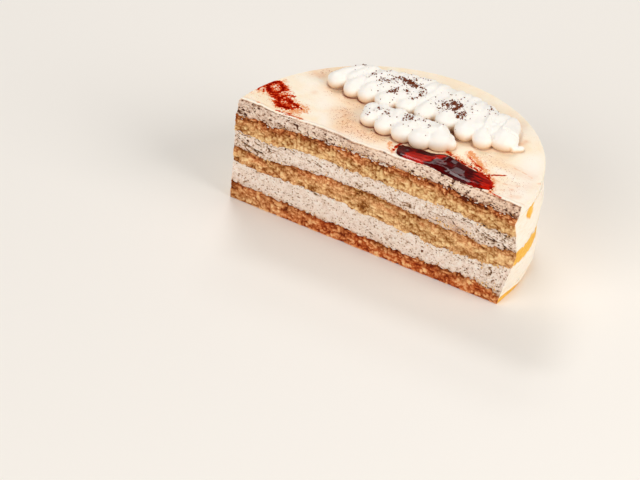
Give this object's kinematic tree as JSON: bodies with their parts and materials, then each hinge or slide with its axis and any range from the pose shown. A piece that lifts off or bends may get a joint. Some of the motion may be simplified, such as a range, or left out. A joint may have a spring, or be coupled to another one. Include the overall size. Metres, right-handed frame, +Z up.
{
  "type": "tiramisu cake half",
  "caption": "Half of a round layered cake with a flat cut face, a thin glaze, piped zigzag cream with cocoa crumbs and a pool of jam.",
  "frame": {"origin": "middle of the cake's box, on the surface that it stands on", "axes": "+X along the cut face, +Y from the cut face into the cake, +Z up"},
  "size_m": [0.2052, 0.1024, 0.0833],
  "materials": {
    "sponge": "open, matt crumb of a baked sponge",
    "cream": "matt whipped cream",
    "glaze": "soft satin glaze",
    "piped_cream": "smooth satin whipped cream",
    "jam": "wet, glossy"
  },
  "bodies": {
    "root": {"sponge_bottom": "sponge", "cream_lower": "cream", "sponge_middle": "sponge", "cream_upper": "cream", "sponge_top": "sponge", "cream_top": "cream", "glaze": "glaze", "piped_cream_long": "piped_cream", "piped_cream_short": "piped_cream", "jam": "jam"}
  },
  "joints": []
}
